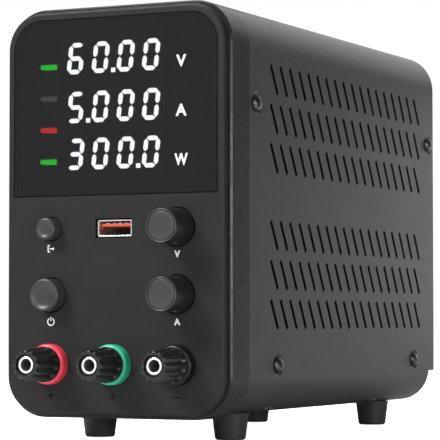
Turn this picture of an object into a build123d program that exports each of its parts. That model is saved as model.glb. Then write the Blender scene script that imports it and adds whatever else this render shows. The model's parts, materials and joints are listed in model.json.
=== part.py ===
from build123d import *
import math
import os

# A bench power supply: X to the right seen from the front, Y to the back, Z up, in millimetres.
# The origin is on the table, in the middle of the width and of the whole depth.

# Case
case_width = 85.0
case_height = 139.0
case_depth = 188.8
corner_radius = 14.0
sheet = 1.2
fit = 0.1
running = 0.05
gap = 0.3
foot_height = 9.2

# Front plate, frame and window
plate_proud = 3.1
plate_inset = 1.25
plate_edge = 1.2
rim_edge = 0.6
skirt_end = 16.5
frame_wall = 2.6
bulkhead = 2.5
collar_end = 28.5
window_border = 2.35
window_height = 60.3
window_top = 4.0
window_thick = 1.2
window_ledge = 1.6

# Front controls: three columns, three rows
column_inset = 18.5
row_top = 71.7
row_middle = 49.4
row_bottom = 26.1
knob_diameter = 12.5
knob_front = 11.4
knob_reach = 12.0
knob_sink = 0.4
knob_recess = 1.2
knob_gap = 0.45
knob_push = 0.5
shaft_diameter = 6.0
shaft_flat = 1.5
encoder_size = 12.0
encoder_depth = 6.6
bushing_diameter = 7.0
rotor_diameter = 9.0
rotor_thick = 1.5
plunger_diameter = 6.0
output_diameter = 7.6
output_reach = 4.6
power_diameter = 11.2
power_reach = 5.3
power_out = 1.5
power_over = 0.5
button_gap = 0.4
button_flange = 1.0
control_board_at = 18.0
display_board_at = 10.0
board = 1.6
board_corner = 4.0
board_edge = 2.0
board_below = 15.0
board_above = 7.0
boss_inset = 7.0
boss_below = 11.0
boss_aside = 3.0

# Readouts and indicator lamps
readout_width = 40.0
readout_height = 15.0
readout_pitch = 16.35
readout_middle = 112.7
readout_at = 2.1
readout_frame = 0.8
readout_x = -1.6
lamp_x = -26.8
lamp_width = 5.6
lamp_height = 1.4
lamp_pitch = 10.8
lamp_middle = 111.0

# USB socket
usb_width = 13.1
usb_height = 5.8
usb_wall = 0.35
usb_sink = 0.9
usb_clear = 0.4
tongue_thick = 1.0
tongue_drop = 1.3
tongue_sink = 1.2
contact_width = 1.0

# Binding posts
post_reach = 17.0
collar_diameter = 13.7
collar_thick = 3.8
collar_edge = 1.2
collar_boss = 9.5
cap_diameter = 12.0
cap_nose = 9.9
cap_hollow = 7.6
hollow_depth = 1.6
flutes = 12
flute_width = 2.0
tube_diameter = 5.7
tube_bore = 4.1
bore_depth = 19.0
stud_tail = 22.0
ring_diameter = 9.0
ring_thick = 1.0
post_washer = 1.5
nut_flats = 9.0
nut_thick = 3.0

# Cover, slots and tray
cover_lift = 11.8
tray_wall = 22.0
slot_rows = 3
slots_per_row = 18
slot_pitch = 7.88
slot_width = 1.8
slot_height = 9.8
slot_lean = 5.7
slot_start = 33.5
slot_row_pitch = 13.45
upper_slots = 127.8
lower_slots = 74.6
dimple_diameter = 8.0
dimple_depth = 0.6
frame_screw_drop = 33.3
panel_screw_drop = 36.1
tray_screw_drop = 5.6
tray_screw_front = 23.1
tray_screw_back = 21.9

# Screws
screw_diameter = 3.0
screw_length = 5.0
head_diameter = 5.4
head_height = 1.7
foot_across = 25.5
foot_front = 37.0
foot_back = 165.0
foot_bottom = 10.5
foot_top = 12.8
foot_hollow = 6.4

# Back: panel, fan, inlet and selector
panel_sink = 2.4
panel_flange = 9.0
fan_size = 60.0
fan_depth = 15.0
fan_drop = 13.0
fan_bore = 57.0
fan_hub = 29.0
fan_hole_pitch = 50.0
fan_hole = 4.3
fan_wall = 1.5
fan_blades = 7
blade_clear = 0.8
blade_thick = 1.2
fan_shaft = 3.0
grille_rings = 4
grille_bar = 2.4
grille_spokes = 4
inlet_x = -18.0
inlet_lift = 14.6
inlet_width = 30.0
inlet_tall = 34.0
inlet_flange = 1.8
inlet_depth = 26.0
socket_width = 24.4
socket_height = 16.4
socket_depth = 17.0
socket_raise = 6.6
pin_width = 2.0
pin_tall = 4.0
pin_length = 12.0
pin_spread = 7.0
pin_offset = 2.0
drawer_width = 22.0
drawer_height = 7.4
drawer_wall = 1.0
fuse_diameter = 5.0
fuse_length = 19.0
selector_x = 22.0
selector_width = 22.0
selector_tall = 12.0
selector_depth = 12.0
slider_width = 5.0
slider_tall = 6.0
slider_travel = 4.0

# Inside
main_board_margin = 4.5
standoff = 6.0
main_board_front = 42.0
main_board_back = 150.0
standoff_diameter = 6.5
heat_sink_gap = 1.5
heat_sink_tall = 74.0
heat_sink_base = 3.0
fin_reach = 6.0
fin_thick = 1.2
fin_count = 9
transistor_width = 16.0
transistor_tall = 21.0
transistor_thick = 4.8
transistor_inset = 12.0
core_clear = 6.8
core_length = 36.0
core_tall = 40.0
core_at = 100.0
bulk_diameter = 22.0
bulk_tall = 40.0
bulk_at = 131.0
filter_diameter = 12.5
filter_tall = 25.0
filter_at = 53.0
choke_diameter = 26.0
choke_thick = 11.0
choke_at = 73.0
lead_diameter = 2.4

# Places worked out from the sizes above
front = -(case_depth - post_reach) / 2
tray_bottom = foot_height
case_bottom = tray_bottom - sheet
case_top = case_bottom + case_height
case_middle = case_bottom + case_height / 2
half_width = case_width / 2
tray_floor = tray_bottom + sheet
tray_top = tray_bottom + tray_wall
rear = front + case_depth
panel_back = rear - panel_sink
panel_front = panel_back - sheet
bulkhead_back = plate_proud + bulkhead
main_board_z = tray_floor + standoff
main_board_top = main_board_z + board
main_board_half = half_width - 2 * sheet - main_board_margin
sink_inner = main_board_half - fin_reach - heat_sink_base
heat_sink_front = filter_at + filter_diameter / 2 + heat_sink_gap
heat_sink_back = bulk_at - bulk_diameter / 2 - heat_sink_gap
core_width = 2 * (sink_inner - transistor_thick - core_clear)
fan_height = case_top - fan_drop - fan_size / 2
inlet_height = tray_floor + inlet_lift + inlet_tall / 2
selector_height = inlet_height
column = half_width - column_inset
wall_inside = half_width - sheet
window_width = case_width - 2 * plate_inset - 2 * window_border
window_high = case_top - window_top
window_low = window_high - window_height
inlet_pocket_z = inlet_height - inlet_tall / 2 + drawer_height / 2 + 2 * drawer_wall
socket_z = inlet_height + socket_raise
columns = (-column, 0.0, column)
boss_across = main_board_half - boss_aside


def outline(inset, radius=corner_radius):
    """The rounded rectangle of the case, drawn inwards by inset, in X and Z."""
    corner = max(radius - inset, 1.0)
    face = RectangleRounded(case_width - 2 * inset, case_height - 2 * inset, corner)
    return Pos(0, case_middle) * face


def prism(face, start, end):
    """A face in X and Z, pushed from one depth behind the plate's front to another."""
    return extrude(Plane.XZ.offset(-(front + end)) * face, amount=end - start)


def block(x, z, width, height, start, end):
    """A box centred at x, z, between two depths behind the plate's front."""
    return prism(Pos(x, z) * Rectangle(width, height), start, end)


def rod(x, z, radius, start, end):
    """A round bar along Y, between two depths behind the plate's front."""
    return prism(Pos(x, z) * Circle(radius), start, end)


def turned(x, z, *points):
    """A half section of (radius, depth) points, turned about the Y line through x, z."""
    section = make_face(Polyline(*points, close=True))
    return Pos(x, front, z) * revolve(section, Axis.Y)


def upright(x, y, radius, low, high):
    """A round bar along Z at x and at a depth behind the plate's front."""
    return Pos(x, front + y, low) * extrude(Circle(radius), amount=high - low)


def case_prism(inset, start, end):
    return prism(outline(inset), start, end)


def half_space(low, high):
    """A box as wide as the case between two heights, used to keep a band of a solid."""
    middle = (low + high) / 2
    return Pos(0, 0, middle) * Box(2 * case_width, 4 * case_depth, high - low)


def stepped(extra, start, end):
    """The space inside the cover, drawn in by one more sheet beside the tray's walls."""
    step = tray_top + fit + extra
    upper = case_prism(sheet + fit + extra, start, end) & half_space(step, case_top)
    lower = case_prism(2 * sheet + fit + extra, start, end) & half_space(0, step)
    return upper + lower


def screw(place, length=screw_length, shank=screw_diameter):
    """A pan-head screw whose head sits on the plane's face, its shank going in."""
    head_radius = head_diameter / 2 * shank / screw_diameter
    section = make_face(
        Polyline(
            (0, head_height),
            (head_radius * 0.62, head_height),
            (head_radius, head_height * 0.45),
            (head_radius, 0),
            (shank / 2, 0),
            (shank / 2, -length),
            (0, -length),
            close=True,
        )
    )
    body = revolve(Plane.XZ * section, Axis.Z)
    return place * body


def screw_hole(place, length, shank=screw_diameter):
    """The hole for a screw: a round bar on both sides of the plane's face."""
    return place * Cylinder(shank / 2 + fit, 2 * length)


def side_plane(side, y, z, inset=0.0):
    """A plane on the left (-1) or right (1) wall, facing outwards."""
    origin = (side * (half_width - inset), front + y, z)
    return Plane(origin=origin, x_dir=(0, 1, 0), z_dir=(side, 0, 0))


def cover_screw_places():
    frame_screw = ((skirt_end + collar_end) / 2, case_top - frame_screw_drop)
    panel_screw = (case_depth - panel_sink - 2.6 * sheet, case_top - panel_screw_drop)
    tray_z = tray_top - tray_screw_drop
    tray_front = (skirt_end + tray_screw_front, tray_z)
    tray_back = (case_depth - tray_screw_back, tray_z)
    places = (frame_screw, panel_screw, tray_front, tray_back)
    return [side_plane(side, y, z) for side in (-1, 1) for y, z in places]


def cover_screws():
    inset = dimple_depth
    return [screw(place.offset(-inset)) for place in cover_screw_places()]


def cover_screw_holes():
    return [screw_hole(place, screw_length + sheet + 1) for place in cover_screw_places()]


def vent_slots():
    """Leaning slots in two groups of rows, cut through both walls at once."""
    faces = []
    lean = math.degrees(math.atan2(slot_lean, slot_height))
    length = math.hypot(slot_lean, slot_height)
    slot = Rot(0, 0, lean) * Rectangle(slot_width, length)
    for group in (upper_slots, lower_slots):
        for row in range(slot_rows):
            z = group - slot_height / 2 - row * slot_row_pitch
            for index in range(slots_per_row):
                y = front + slot_start + slot_lean / 2 + index * slot_pitch
                faces.append(Pos(y, z) * slot)
    return [extrude(Plane.YZ * face, amount=case_width, both=True) for face in faces]


def top_cover():
    """An inverted U of sheet, with leaning vent slots and dimpled screw places."""
    cover = case_prism(0, skirt_end, case_depth) - case_prism(sheet, skirt_end, case_depth)
    cover = cover & half_space(tray_bottom + cover_lift, case_top + 1)
    for place in cover_screw_places():
        small = head_diameter / 2 + gap
        seated = (Align.CENTER, Align.CENTER, Align.MAX)
        cover -= place * Cone(small, dimple_diameter / 2, dimple_depth, align=seated)
    return cover - cover_screw_holes() - vent_slots()


def foot_places():
    return [(x, y) for x in (-foot_across, foot_across) for y in (foot_front, foot_back)]


def standoff_places():
    across = main_board_half - standoff_diameter / 2
    along = (main_board_front + standoff_diameter, main_board_back - standoff_diameter)
    return [(x, y) for x in (-across, across) for y in along]


def bottom_tray():
    """A U of sheet that tucks inside the cover, with pressed standoffs for the main board."""
    end = case_depth - panel_sink
    tray = case_prism(sheet, skirt_end, end) - case_prism(2 * sheet, skirt_end, end)
    tray = tray & half_space(tray_bottom, tray_top)
    for x, y in standoff_places():
        tray += upright(x, y, standoff_diameter / 2, tray_floor - fit, main_board_z)
        tray -= upright(x, y, screw_diameter / 2 + fit, tray_floor, main_board_z + 1)
    for x, y in foot_places():
        tray -= upright(x, y, screw_diameter / 2 + fit, 0, tray_floor + 1)
    return tray - cover_screw_holes()


def feet():
    """Tapered rubber feet, hollowed from below for the screw's head."""
    made = []
    floor = foot_height * 0.45
    for x, y in foot_places():
        section = make_face(
            Polyline(
                (foot_hollow / 2, 0),
                (foot_bottom / 2 - 0.6, 0),
                (foot_bottom / 2, 0.6),
                (foot_top / 2, foot_height),
                (screw_diameter / 2 + fit, foot_height),
                (screw_diameter / 2 + fit, floor),
                (foot_hollow / 2, floor),
                close=True,
            )
        )
        made.append(Pos(x, front + y, 0) * revolve(Plane.XZ * section, Axis.Z))
    return made


def foot_screws():
    floor = foot_height * 0.45
    down = [Plane(origin=(x, front + y, floor), z_dir=(0, 0, -1)) for x, y in foot_places()]
    return [screw(place, foot_height - floor + sheet + 3) for place in down]


def board_boss_places():
    """Screw places of the display board and of the control board, in X and Z."""
    across = boss_across
    display_heights = (window_low + boss_inset, window_high - boss_inset)
    control_heights = (row_middle - boss_below, (row_middle + row_top) / 2)
    display = [(x, z) for x in (-across, across) for z in display_heights]
    control = [(x, z) for x in (-across, across) for z in control_heights]
    return display, control


def front_frame():
    """The moulded frame: a skirt, a bulkhead with all its openings and a rear collar."""
    rim = chamfer(
        case_prism(0, plate_proud, skirt_end).faces().sort_by(Axis.Y)[0].edges(),
        rim_edge,
    )
    frame = rim - case_prism(frame_wall, bulkhead_back, skirt_end)
    frame += stepped(0, bulkhead_back - 1, collar_end) - stepped(frame_wall, bulkhead_back, collar_end)
    display, control = board_boss_places()
    for places, depth in ((display, display_board_at), (control, control_board_at)):
        for x, z in places:
            frame += rod(x, z, screw_diameter, bulkhead_back - 1, depth)
            frame -= rod(x, z, screw_diameter / 2 + fit, bulkhead_back, depth + 1)
    room = 2 * gap
    end = bulkhead_back + 1
    for z in readout_heights():
        frame -= block(readout_x, z, readout_width + room, readout_height + room, 0, end)
    for z in lamp_heights():
        frame -= block(lamp_x, z, lamp_width + room, lamp_height + room, 0, end)
    frame -= control_holes(end)
    return frame - cover_screw_holes()


def control_holes(end):
    """The holes that the knobs' bushings, buttons, USB socket and posts pass through."""
    holes = [rod(column, z, bushing_diameter / 2 + fit, -1, end) for z in (row_top, row_middle)]
    holes.append(rod(-column, row_top, output_diameter / 2 + button_gap, -1, end))
    holes.append(rod(-column, row_middle, power_diameter / 2 + button_gap, -1, end))
    holes.append(block(0, row_top, usb_width + 2 * usb_clear, usb_height + 2 * usb_clear, -1, end))
    for x in columns:
        holes.append(rod(x, row_bottom, collar_boss / 2 + fit, -1, end))
    return holes


def face_plate():
    """The raised front plate, with a pocket for the window and recesses round the knobs."""
    plate = case_prism(plate_inset, 0, plate_proud)
    plate = fillet(plate.faces().sort_by(Axis.Y)[0].edges(), plate_edge)
    plate -= prism(window_outline(0), -1, window_thick)
    plate -= prism(window_outline(window_ledge), 0, plate_proud + 1)
    for z in (row_top, row_middle):
        plate -= rod(column, z, knob_diameter / 2 + knob_gap, -1, knob_recess)
    return plate - control_holes(plate_proud + 1)


def window_outline(clear):
    """The window: square corners below, corners that follow the case above."""
    middle = (window_low + window_high) / 2
    width = window_width - 2 * clear
    height = window_height - 2 * clear
    sheet_face = Pos(0, middle) * Rectangle(width, height)
    corners = sheet_face.vertices().sort_by(Axis.Y)[-2:]
    return fillet(corners, max(corner_radius - plate_inset - window_border - clear, 1.0))


def display_window():
    return prism(window_outline(fit), 0, window_thick)


def readout_heights():
    return [readout_middle + step * readout_pitch for step in (1, 0, -1)]


def lamp_heights():
    return [lamp_middle + step * lamp_pitch for step in (1.5, 0.5, -0.5, -1.5)]


def readout(z):
    """A four-digit module whose face has a shallow frame round its digits."""
    body = block(readout_x, z, readout_width, readout_height, readout_at, display_board_at)
    width = readout_width - 2 * readout_frame
    height = readout_height - 2 * readout_frame
    return body - block(readout_x, z, width, height, readout_at - 1, readout_at + gap)


def indicator_lamps():
    return [block(lamp_x, z, lamp_width, lamp_height, readout_at, display_board_at) for z in lamp_heights()]


def board_with_holes(width, low, high, depth, holes):
    face = Pos(0, (low + high) / 2) * RectangleRounded(width, high - low, board_corner)
    plate = prism(face, depth, depth + board)
    return plate - [rod(x, z, screw_diameter / 2 + fit, depth - 1, depth + board + 1) for x, z in holes]


def display_board():
    display, _ = board_boss_places()
    low = window_low + board_edge
    high = window_high - board_edge
    return board_with_holes(2 * main_board_half, low, high, display_board_at, display)


def control_board():
    _, control = board_boss_places()
    low = row_middle - board_below
    high = row_top + board_above
    return board_with_holes(2 * main_board_half, low, high, control_board_at, control)


def board_screws():
    """The screws of the two front boards and of the main board."""
    display, control = board_boss_places()
    made = []
    for places, depth in ((display, display_board_at), (control, control_board_at)):
        for x, z in places:
            place = Plane(origin=(x, front + depth + board, z), z_dir=(0, 1, 0))
            made.append(screw(place, board + bulkhead))
    for x, y in standoff_places():
        place = Plane(origin=(x, front + y, main_board_top), z_dir=(0, 0, 1))
        made.append(screw(place, board + standoff * 0.7))
    return made


def encoder_front():
    return control_board_at - encoder_depth


def encoder(z):
    """The encoder's housing: a threaded bushing in front of a hollow square body."""
    start = encoder_front()
    body = block(column, z, encoder_size, encoder_size, start, control_board_at)
    body += rod(column, z, bushing_diameter / 2, knob_recess + knob_push + gap, start + 0.5)
    body -= rod(column, z, rotor_diameter / 2 + gap, start + 0.8, control_board_at - 0.8)
    return body - rod(column, z, shaft_diameter / 2 + running, 0, start + 1)


def shaft_end():
    return encoder_front() + 0.8 + gap + rotor_thick


def encoder_shaft(z):
    """A round shaft with a flat for the knob and a disc that is trapped in the housing."""
    tip = -knob_reach * 0.76
    flat_top = Pos(column, z + shaft_diameter - shaft_flat) * Rectangle(shaft_diameter * 2, shaft_diameter)
    shaft = rod(column, z, shaft_diameter / 2, tip, shaft_end())
    shaft -= prism(flat_top, tip - 1, knob_sink)
    return shaft + rod(column, z, rotor_diameter / 2, shaft_end() - rotor_thick, shaft_end())


def encoder_plunger(z):
    """The plunger behind the shaft that works the push switch."""
    start = shaft_end() + fit
    end = control_board_at - 0.8 - knob_push - gap
    return rod(column, z, plunger_diameter / 2, start, end)


def knob(z):
    """A round knob with a dished front and a bore with a flat for its shaft."""
    base = knob_diameter / 2
    nose = knob_front / 2
    dish = 0.45
    body = turned(
        column,
        z,
        (0, dish - knob_reach),
        (nose - 1.0, dish - knob_reach),
        (nose - 0.7, -knob_reach),
        (nose - 0.2, -knob_reach),
        (nose + 0.15, 0.35 - knob_reach),
        (base, 2.6 - knob_reach),
        (base, knob_sink),
        (0, knob_sink),
    )
    radius = shaft_diameter / 2 + running
    bore = Pos(column, z) * Circle(radius)
    bore -= Pos(column, z + 2 * radius - shaft_flat) * Rectangle(4 * radius, 2 * radius)
    return body - prism(bore, -knob_reach * 0.78, knob_sink + 1)


def button(z, diameter, reach, flange_at, stem_end, stem):
    """A round button: dished cap, a flange that keeps it in, and a square stem."""
    radius = diameter / 2
    rim = 0.9
    cap = turned(
        -column,
        z,
        (0, 0.5 - reach),
        (radius - 2 * rim, 0.45 - reach),
        (radius - rim, -reach),
        (radius - 0.5, -reach),
        (radius, 0.5 - reach),
        (radius, flange_at),
        (radius + 2 * button_gap, flange_at),
        (radius + 2 * button_gap, flange_at + button_flange),
        (0, flange_at + button_flange),
    )
    return cap + block(-column, z, stem, stem, flange_at, stem_end)


def switch_body(z, size, start, stem):
    """A switch body on the control board, with the hole that its button's stem enters."""
    body = block(-column, z, size, size, start, control_board_at)
    hole = stem + 2 * gap
    return body - block(-column, z, hole, hole, start - 1, control_board_at - 1)


output_flange_at = bulkhead_back + gap
output_switch_at = 14.0
power_flange_at = bulkhead_back + power_out + gap
power_switch_at = power_flange_at + button_flange + power_over + gap
output_stem = 3.0
power_stem = 4.0
stem_reach = 1.5


def output_button():
    end = output_switch_at + stem_reach
    return button(row_top, output_diameter, output_reach, output_flange_at, end, output_stem)


def power_button():
    end = power_switch_at + stem_reach + power_out
    return button(row_middle, power_diameter, power_reach, power_flange_at, end, power_stem)


def usb_shell():
    """A drawn steel shell, open in front, closed by the board behind."""
    outer = Pos(0, row_top) * RectangleRounded(usb_width, usb_height, 0.6)
    inner = Pos(0, row_top) * RectangleRounded(usb_width - 2 * usb_wall, usb_height - 2 * usb_wall, 0.3)
    return prism(outer - inner, usb_sink, control_board_at)


def usb_tongue():
    """The moulded tongue with four contacts on its upper face, on a block that fills the shell."""
    width = usb_width - 2 * usb_wall - 2 * fit
    height = usb_height - 2 * usb_wall - 2 * fit
    tongue_z = row_top + usb_height / 2 - tongue_drop - tongue_thick / 2
    start = usb_sink + tongue_sink
    back = control_board_at - 3.0
    body = block(0, row_top, width, height, back, control_board_at)
    body += block(0, tongue_z, width - 1.2, tongue_thick, start, back + 1)
    for x in (-3.5, -1.0, 1.0, 3.5):
        body += block(x, tongue_z + tongue_thick / 2, contact_width, 0.5, start + 0.5, back + 1)
    return body


def post_collar(x):
    """The coloured collar, with a boss that goes through the plate and the bulkhead."""
    radius = collar_diameter / 2
    body = turned(
        x,
        row_bottom,
        (tube_diameter / 2 + fit, -collar_thick),
        (radius - collar_edge, -collar_thick),
        (radius - collar_edge * 0.3, -collar_thick + collar_edge * 0.3),
        (radius, -collar_thick + collar_edge),
        (radius, 0),
        (collar_boss / 2, 0),
        (collar_boss / 2, bulkhead_back),
        (tube_diameter / 2 + fit, bulkhead_back),
    )
    return body


def post_stud(x):
    """The plated stud: a tube in front that takes a 4 mm plug, solid at the back."""
    tip = -post_reach + 0.5
    radius = tube_diameter / 2
    return turned(
        x,
        row_bottom,
        (tube_bore / 2, tip),
        (radius - 0.2, tip),
        (radius, tip + 0.2),
        (radius, stud_tail),
        (0, stud_tail),
        (0, tip + bore_depth),
        (tube_bore / 2, tip + bore_depth),
    )


def clamp_ring(x):
    """The plated ring under the cap, which slides along the stud and does not turn."""
    hole = tube_diameter / 2 + running
    return turned(
        x,
        row_bottom,
        (hole, -collar_thick - ring_thick),
        (ring_diameter / 2, -collar_thick - ring_thick),
        (ring_diameter / 2, -collar_thick),
        (hole, -collar_thick),
    )


def post_cap(x):
    """A tapered cap with flutes along it, a smooth foot and a hollow nose round the tube."""
    foot = cap_diameter / 2
    nose = cap_nose / 2
    base = -collar_thick - fit
    hole = tube_diameter / 2 + running
    body = turned(
        x,
        row_bottom,
        (hole, base - ring_thick - fit),
        (ring_diameter / 2 + gap, base - ring_thick - fit),
        (ring_diameter / 2 + gap, base),
        (foot - 0.3, base),
        (foot, base - 0.3),
        (foot, base - 1.0),
        (nose + 0.15, -post_reach + 0.6),
        (nose - 0.35, -post_reach),
        (cap_hollow / 2, -post_reach),
        (cap_hollow / 2, -post_reach + hollow_depth),
        (hole, -post_reach + hollow_depth),
    )
    taper = math.degrees(math.atan2(foot - nose, post_reach + base - 1.6))
    length = post_reach + base - 1.4
    cutters = []
    for index in range(flutes):
        bar = Cylinder(flute_width / 2, length, align=(Align.CENTER, Align.CENTER, Align.MIN))
        bar = Pos(foot + flute_width * 0.2, base - 1.4, 0) * Rot(90, 0, 0) * Rot(0, -taper, 0) * bar
        cutters.append(Pos(x, front, row_bottom) * Rot(0, index * 360 / flutes, 0) * bar)
    return body - cutters


def post_washers():
    outer = collar_boss / 2 + 1.5
    hole = tube_diameter / 2 + fit
    depth = (bulkhead_back, bulkhead_back + post_washer)
    return [rod(x, row_bottom, outer, *depth) - rod(x, row_bottom, hole, 0, depth[1] + 1) for x in columns]


def post_nuts():
    start = bulkhead_back + post_washer
    face = RegularPolygon(nut_flats / 2, 6, major_radius=False) - Circle(tube_diameter / 2 + fit)
    return [prism(Pos(x, row_bottom) * face, start, start + nut_thick) for x in columns]


def annulus_sector(inner, outer, spokes, bar):
    """A ring cut into equal pieces by straight bars."""
    ring = Circle(outer) - Circle(inner)
    for index in range(spokes // 2):
        ring -= Rot(0, 0, 45 + index * 360 / spokes) * Rectangle(3 * outer, bar)
    return ring


def grille():
    """The ring slots that the fan breathes through."""
    start = fan_hub / 2 * 0.55
    pitch = (fan_bore / 2 - start) / grille_rings
    faces = []
    for index in range(grille_rings):
        inner = start + index * pitch + grille_bar
        faces += annulus_sector(inner, start + (index + 1) * pitch, grille_spokes, grille_bar * 1.4).faces()
    return [Pos(0, fan_height) * face for face in faces]


def fan_hole_places():
    half = fan_hole_pitch / 2
    return [(x, fan_height + z) for x in (-half, half) for z in (-half, half)]


def rear_panel():
    """A pressed panel with a forward flange, fan slots, and openings for inlet and selector."""
    end = case_depth - panel_sink
    start = end - panel_flange
    panel = stepped(0, start, end) - stepped(sheet, start, end - sheet)
    cuts = [prism(face, end - sheet - 1, end + 1) for face in grille()]
    for x, z in fan_hole_places():
        cuts.append(rod(x, z, fan_hole / 2, end - sheet - 1, end + 1))
    for x, z, width, height in (
        (inlet_x, inlet_height, inlet_width - 3, inlet_tall - 3),
        (selector_x, selector_height, selector_width - 4, selector_tall),
    ):
        cuts.append(block(x, z, width, height, end - sheet - 1, end + 1))
    return panel - cuts - cover_screw_holes()


def fan_start():
    return case_depth - panel_sink - sheet - fan_depth


def fan_housing():
    """A square fan frame: round duct, hollowed corners, motor hub on four struts."""
    start = fan_start()
    end = start + fan_depth
    square = Pos(0, fan_height) * RectangleRounded(fan_size, fan_size, 3.0)
    body = prism(square, start, end)
    body -= rod(0, fan_height, fan_bore / 2, start - 1, end + 1)
    waist = Pos(0, fan_height) * (Rectangle(fan_size + 1, fan_size + 1) - Circle(fan_bore / 2 + fan_wall))
    body -= prism(waist, start + 3.2, end - 3.2)
    hub = rod(0, fan_height, fan_hub / 2, end - 3.0, end)
    for angle in (45, 135):
        bar = Pos(0, fan_height) * Rot(0, 0, angle) * Rectangle(fan_bore + 1, 3.0)
        hub += prism(bar, end - 3.0, end - 0.5)
    body += hub
    body -= rod(0, fan_height, fan_shaft / 2 + running, start, end - 0.8)
    for x, z in fan_hole_places():
        body -= rod(x, z, fan_hole / 2, start - 1, end + 1)
    return body


def fan_rotor():
    """The fan's wheel: a cup hub with curved, pitched blades and its shaft."""
    start = fan_start() + 0.8
    end = fan_start() + fan_depth - 3.0 - gap
    middle = (start + end) / 2
    chord = (end - start) / 2 - 0.4
    wheel = rod(0, fan_height, fan_hub / 2, start, end)
    wheel += rod(0, fan_height, fan_shaft / 2, end - 1, fan_start() + fan_depth - 1.2)
    outer = fan_bore / 2 - blade_clear
    path = ThreePointArc((-chord, chord * 0.9), (chord * 0.25, chord * 0.25), (chord * 0.6, -chord * 0.9))
    blade_face = make_face(
        Polyline(*[path @ (step / 6) for step in range(7)])
        + Polyline(*[(path @ (step / 6)) + Vector(blade_thick, blade_thick * 0.5) for step in range(7)])
        + Line(path @ 0, (path @ 0) + Vector(blade_thick, blade_thick * 0.5))
        + Line(path @ 1, (path @ 1) + Vector(blade_thick, blade_thick * 0.5))
    )
    reach = rod(0, fan_height, outer, start, end) - rod(0, fan_height, fan_hub / 2 - 0.5, start, end)
    for index in range(fan_blades):
        blade = extrude(Plane.XY * blade_face, amount=outer + 5)
        blade = Pos(0, front + middle, fan_height) * Rot(0, index * 360 / fan_blades, 0) * blade
        wheel += blade & reach
    return wheel


def fan_screws():
    places = [Plane(origin=(x, panel_back, z), z_dir=(0, 1, 0)) for x, z in fan_hole_places()]
    return [screw(place, 9.0, 4.0) for place in places]


def socket_outline(clear):
    """The inlet's outline: a rectangle with its two upper corners cut."""
    half = socket_width / 2 - clear
    tall = socket_height / 2 - clear
    cut = 4.5
    lower = ((-half, -tall), (half, -tall))
    upper = ((half, tall - cut), (half - cut, tall), (cut - half, tall), (-half, tall - cut))
    return Pos(inlet_x, socket_z) * make_face(Polyline(*lower, *upper, close=True))


def inlet_housing():
    """The mains inlet: a flange outside the panel, a deep socket and a pocket for the fuse drawer."""
    end = case_depth - panel_sink
    flange = Pos(inlet_x, inlet_height) * RectangleRounded(inlet_width, inlet_tall, 2.0)
    body = prism(flange, end, end + inlet_flange)
    width = inlet_width - 3 - 2 * fit
    body += block(inlet_x, inlet_height, width, inlet_tall - 3 - 2 * fit, end - inlet_depth, end)
    mouth = end + inlet_flange
    body -= prism(socket_outline(0), mouth - socket_depth, mouth + 1)
    pocket = (drawer_width + 2 * gap, drawer_height + 2 * gap)
    body -= block(inlet_x, inlet_pocket_z, *pocket, end - inlet_depth + 2, mouth + 1)
    for x, z in inlet_pin_places():
        body -= block(x, z, pin_width + 2 * fit, pin_tall + 2 * fit, end - inlet_depth - 1, mouth)
    return body


def inlet_pin_places():
    return [
        (inlet_x - pin_spread, socket_z - pin_offset),
        (inlet_x + pin_spread, socket_z - pin_offset),
        (inlet_x, socket_z + pin_offset),
    ]


def inlet_pins():
    mouth = case_depth - panel_sink + inlet_flange
    start = case_depth - panel_sink - inlet_depth - 6
    end = mouth - socket_depth + pin_length
    return [block(x, z, pin_width, pin_tall, start, end) for x, z in inlet_pin_places()]


def drawer_back():
    return case_depth - panel_sink - inlet_depth + 2 + gap


def fuse_drawer():
    """A drawer with a grip lip, hollowed for a glass fuse that lies across it."""
    mouth = case_depth - panel_sink + inlet_flange
    body = block(inlet_x, inlet_pocket_z, drawer_width, drawer_height, drawer_back(), mouth)
    room = fuse_diameter + 2 * gap
    middle = fuse_middle()
    hollow = block(inlet_x, 0, fuse_length + 2 * gap, room, middle - room / 2, middle + room / 2)
    body -= Pos(0, 0, inlet_pocket_z + drawer_wall) * hollow
    drawer_top = inlet_pocket_z + drawer_height / 2
    body -= block(inlet_x, drawer_top, drawer_width * 0.4, 2.0, mouth - 1.0, mouth + 1)
    return body


def fuse_middle():
    return drawer_back() + drawer_wall + gap + fuse_diameter / 2


def fuse():
    """A glass cartridge fuse with a metal cap on each end."""
    radius = fuse_diameter / 2
    z = inlet_pocket_z + drawer_wall
    glass = Pos(inlet_x, front + fuse_middle(), z) * Rot(0, 90, 0)
    body = glass * Cylinder(radius - 0.25, fuse_length)
    for side in (-1, 1):
        shift = side * (fuse_length / 2 - 2.5)
        body += glass * Pos(0, 0, shift) * Cylinder(radius, 5.0)
    return body


def selector_body():
    """The mains voltage selector: a flanged body with a window for its slider."""
    end = case_depth - panel_sink
    inner = selector_width - 4 - 2 * fit
    body = block(selector_x, selector_height, inner, selector_tall - 2 * fit, end - selector_depth, end)
    seat = end - sheet
    body += block(selector_x, selector_height, selector_width, selector_tall + 4, seat - 1, seat)
    width = slider_width + slider_travel + 2 * gap
    return body - block(selector_x, selector_height, width, slider_tall + 2 * gap, end - 5, end + 1)


def selector_slider():
    """The slider, at the left end of its window, with a groove for a screwdriver."""
    end = case_depth - panel_sink
    x = selector_x - slider_travel / 2
    body = block(x, selector_height, slider_width, slider_tall, end - 5 + gap, end - 0.6)
    return body - block(x, selector_height, 1.2, slider_tall + 1, end - 1.6, end)


def main_board():
    middle = front + (main_board_front + main_board_back) / 2
    length = main_board_back - main_board_front
    plate = Pos(0, middle, main_board_z + board / 2) * Box(2 * main_board_half, length, board)
    low = main_board_z - 1
    hole = screw_diameter / 2 + fit
    return plate - [upright(x, y, hole, low, low + board + 2) for x, y in standoff_places()]


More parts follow.
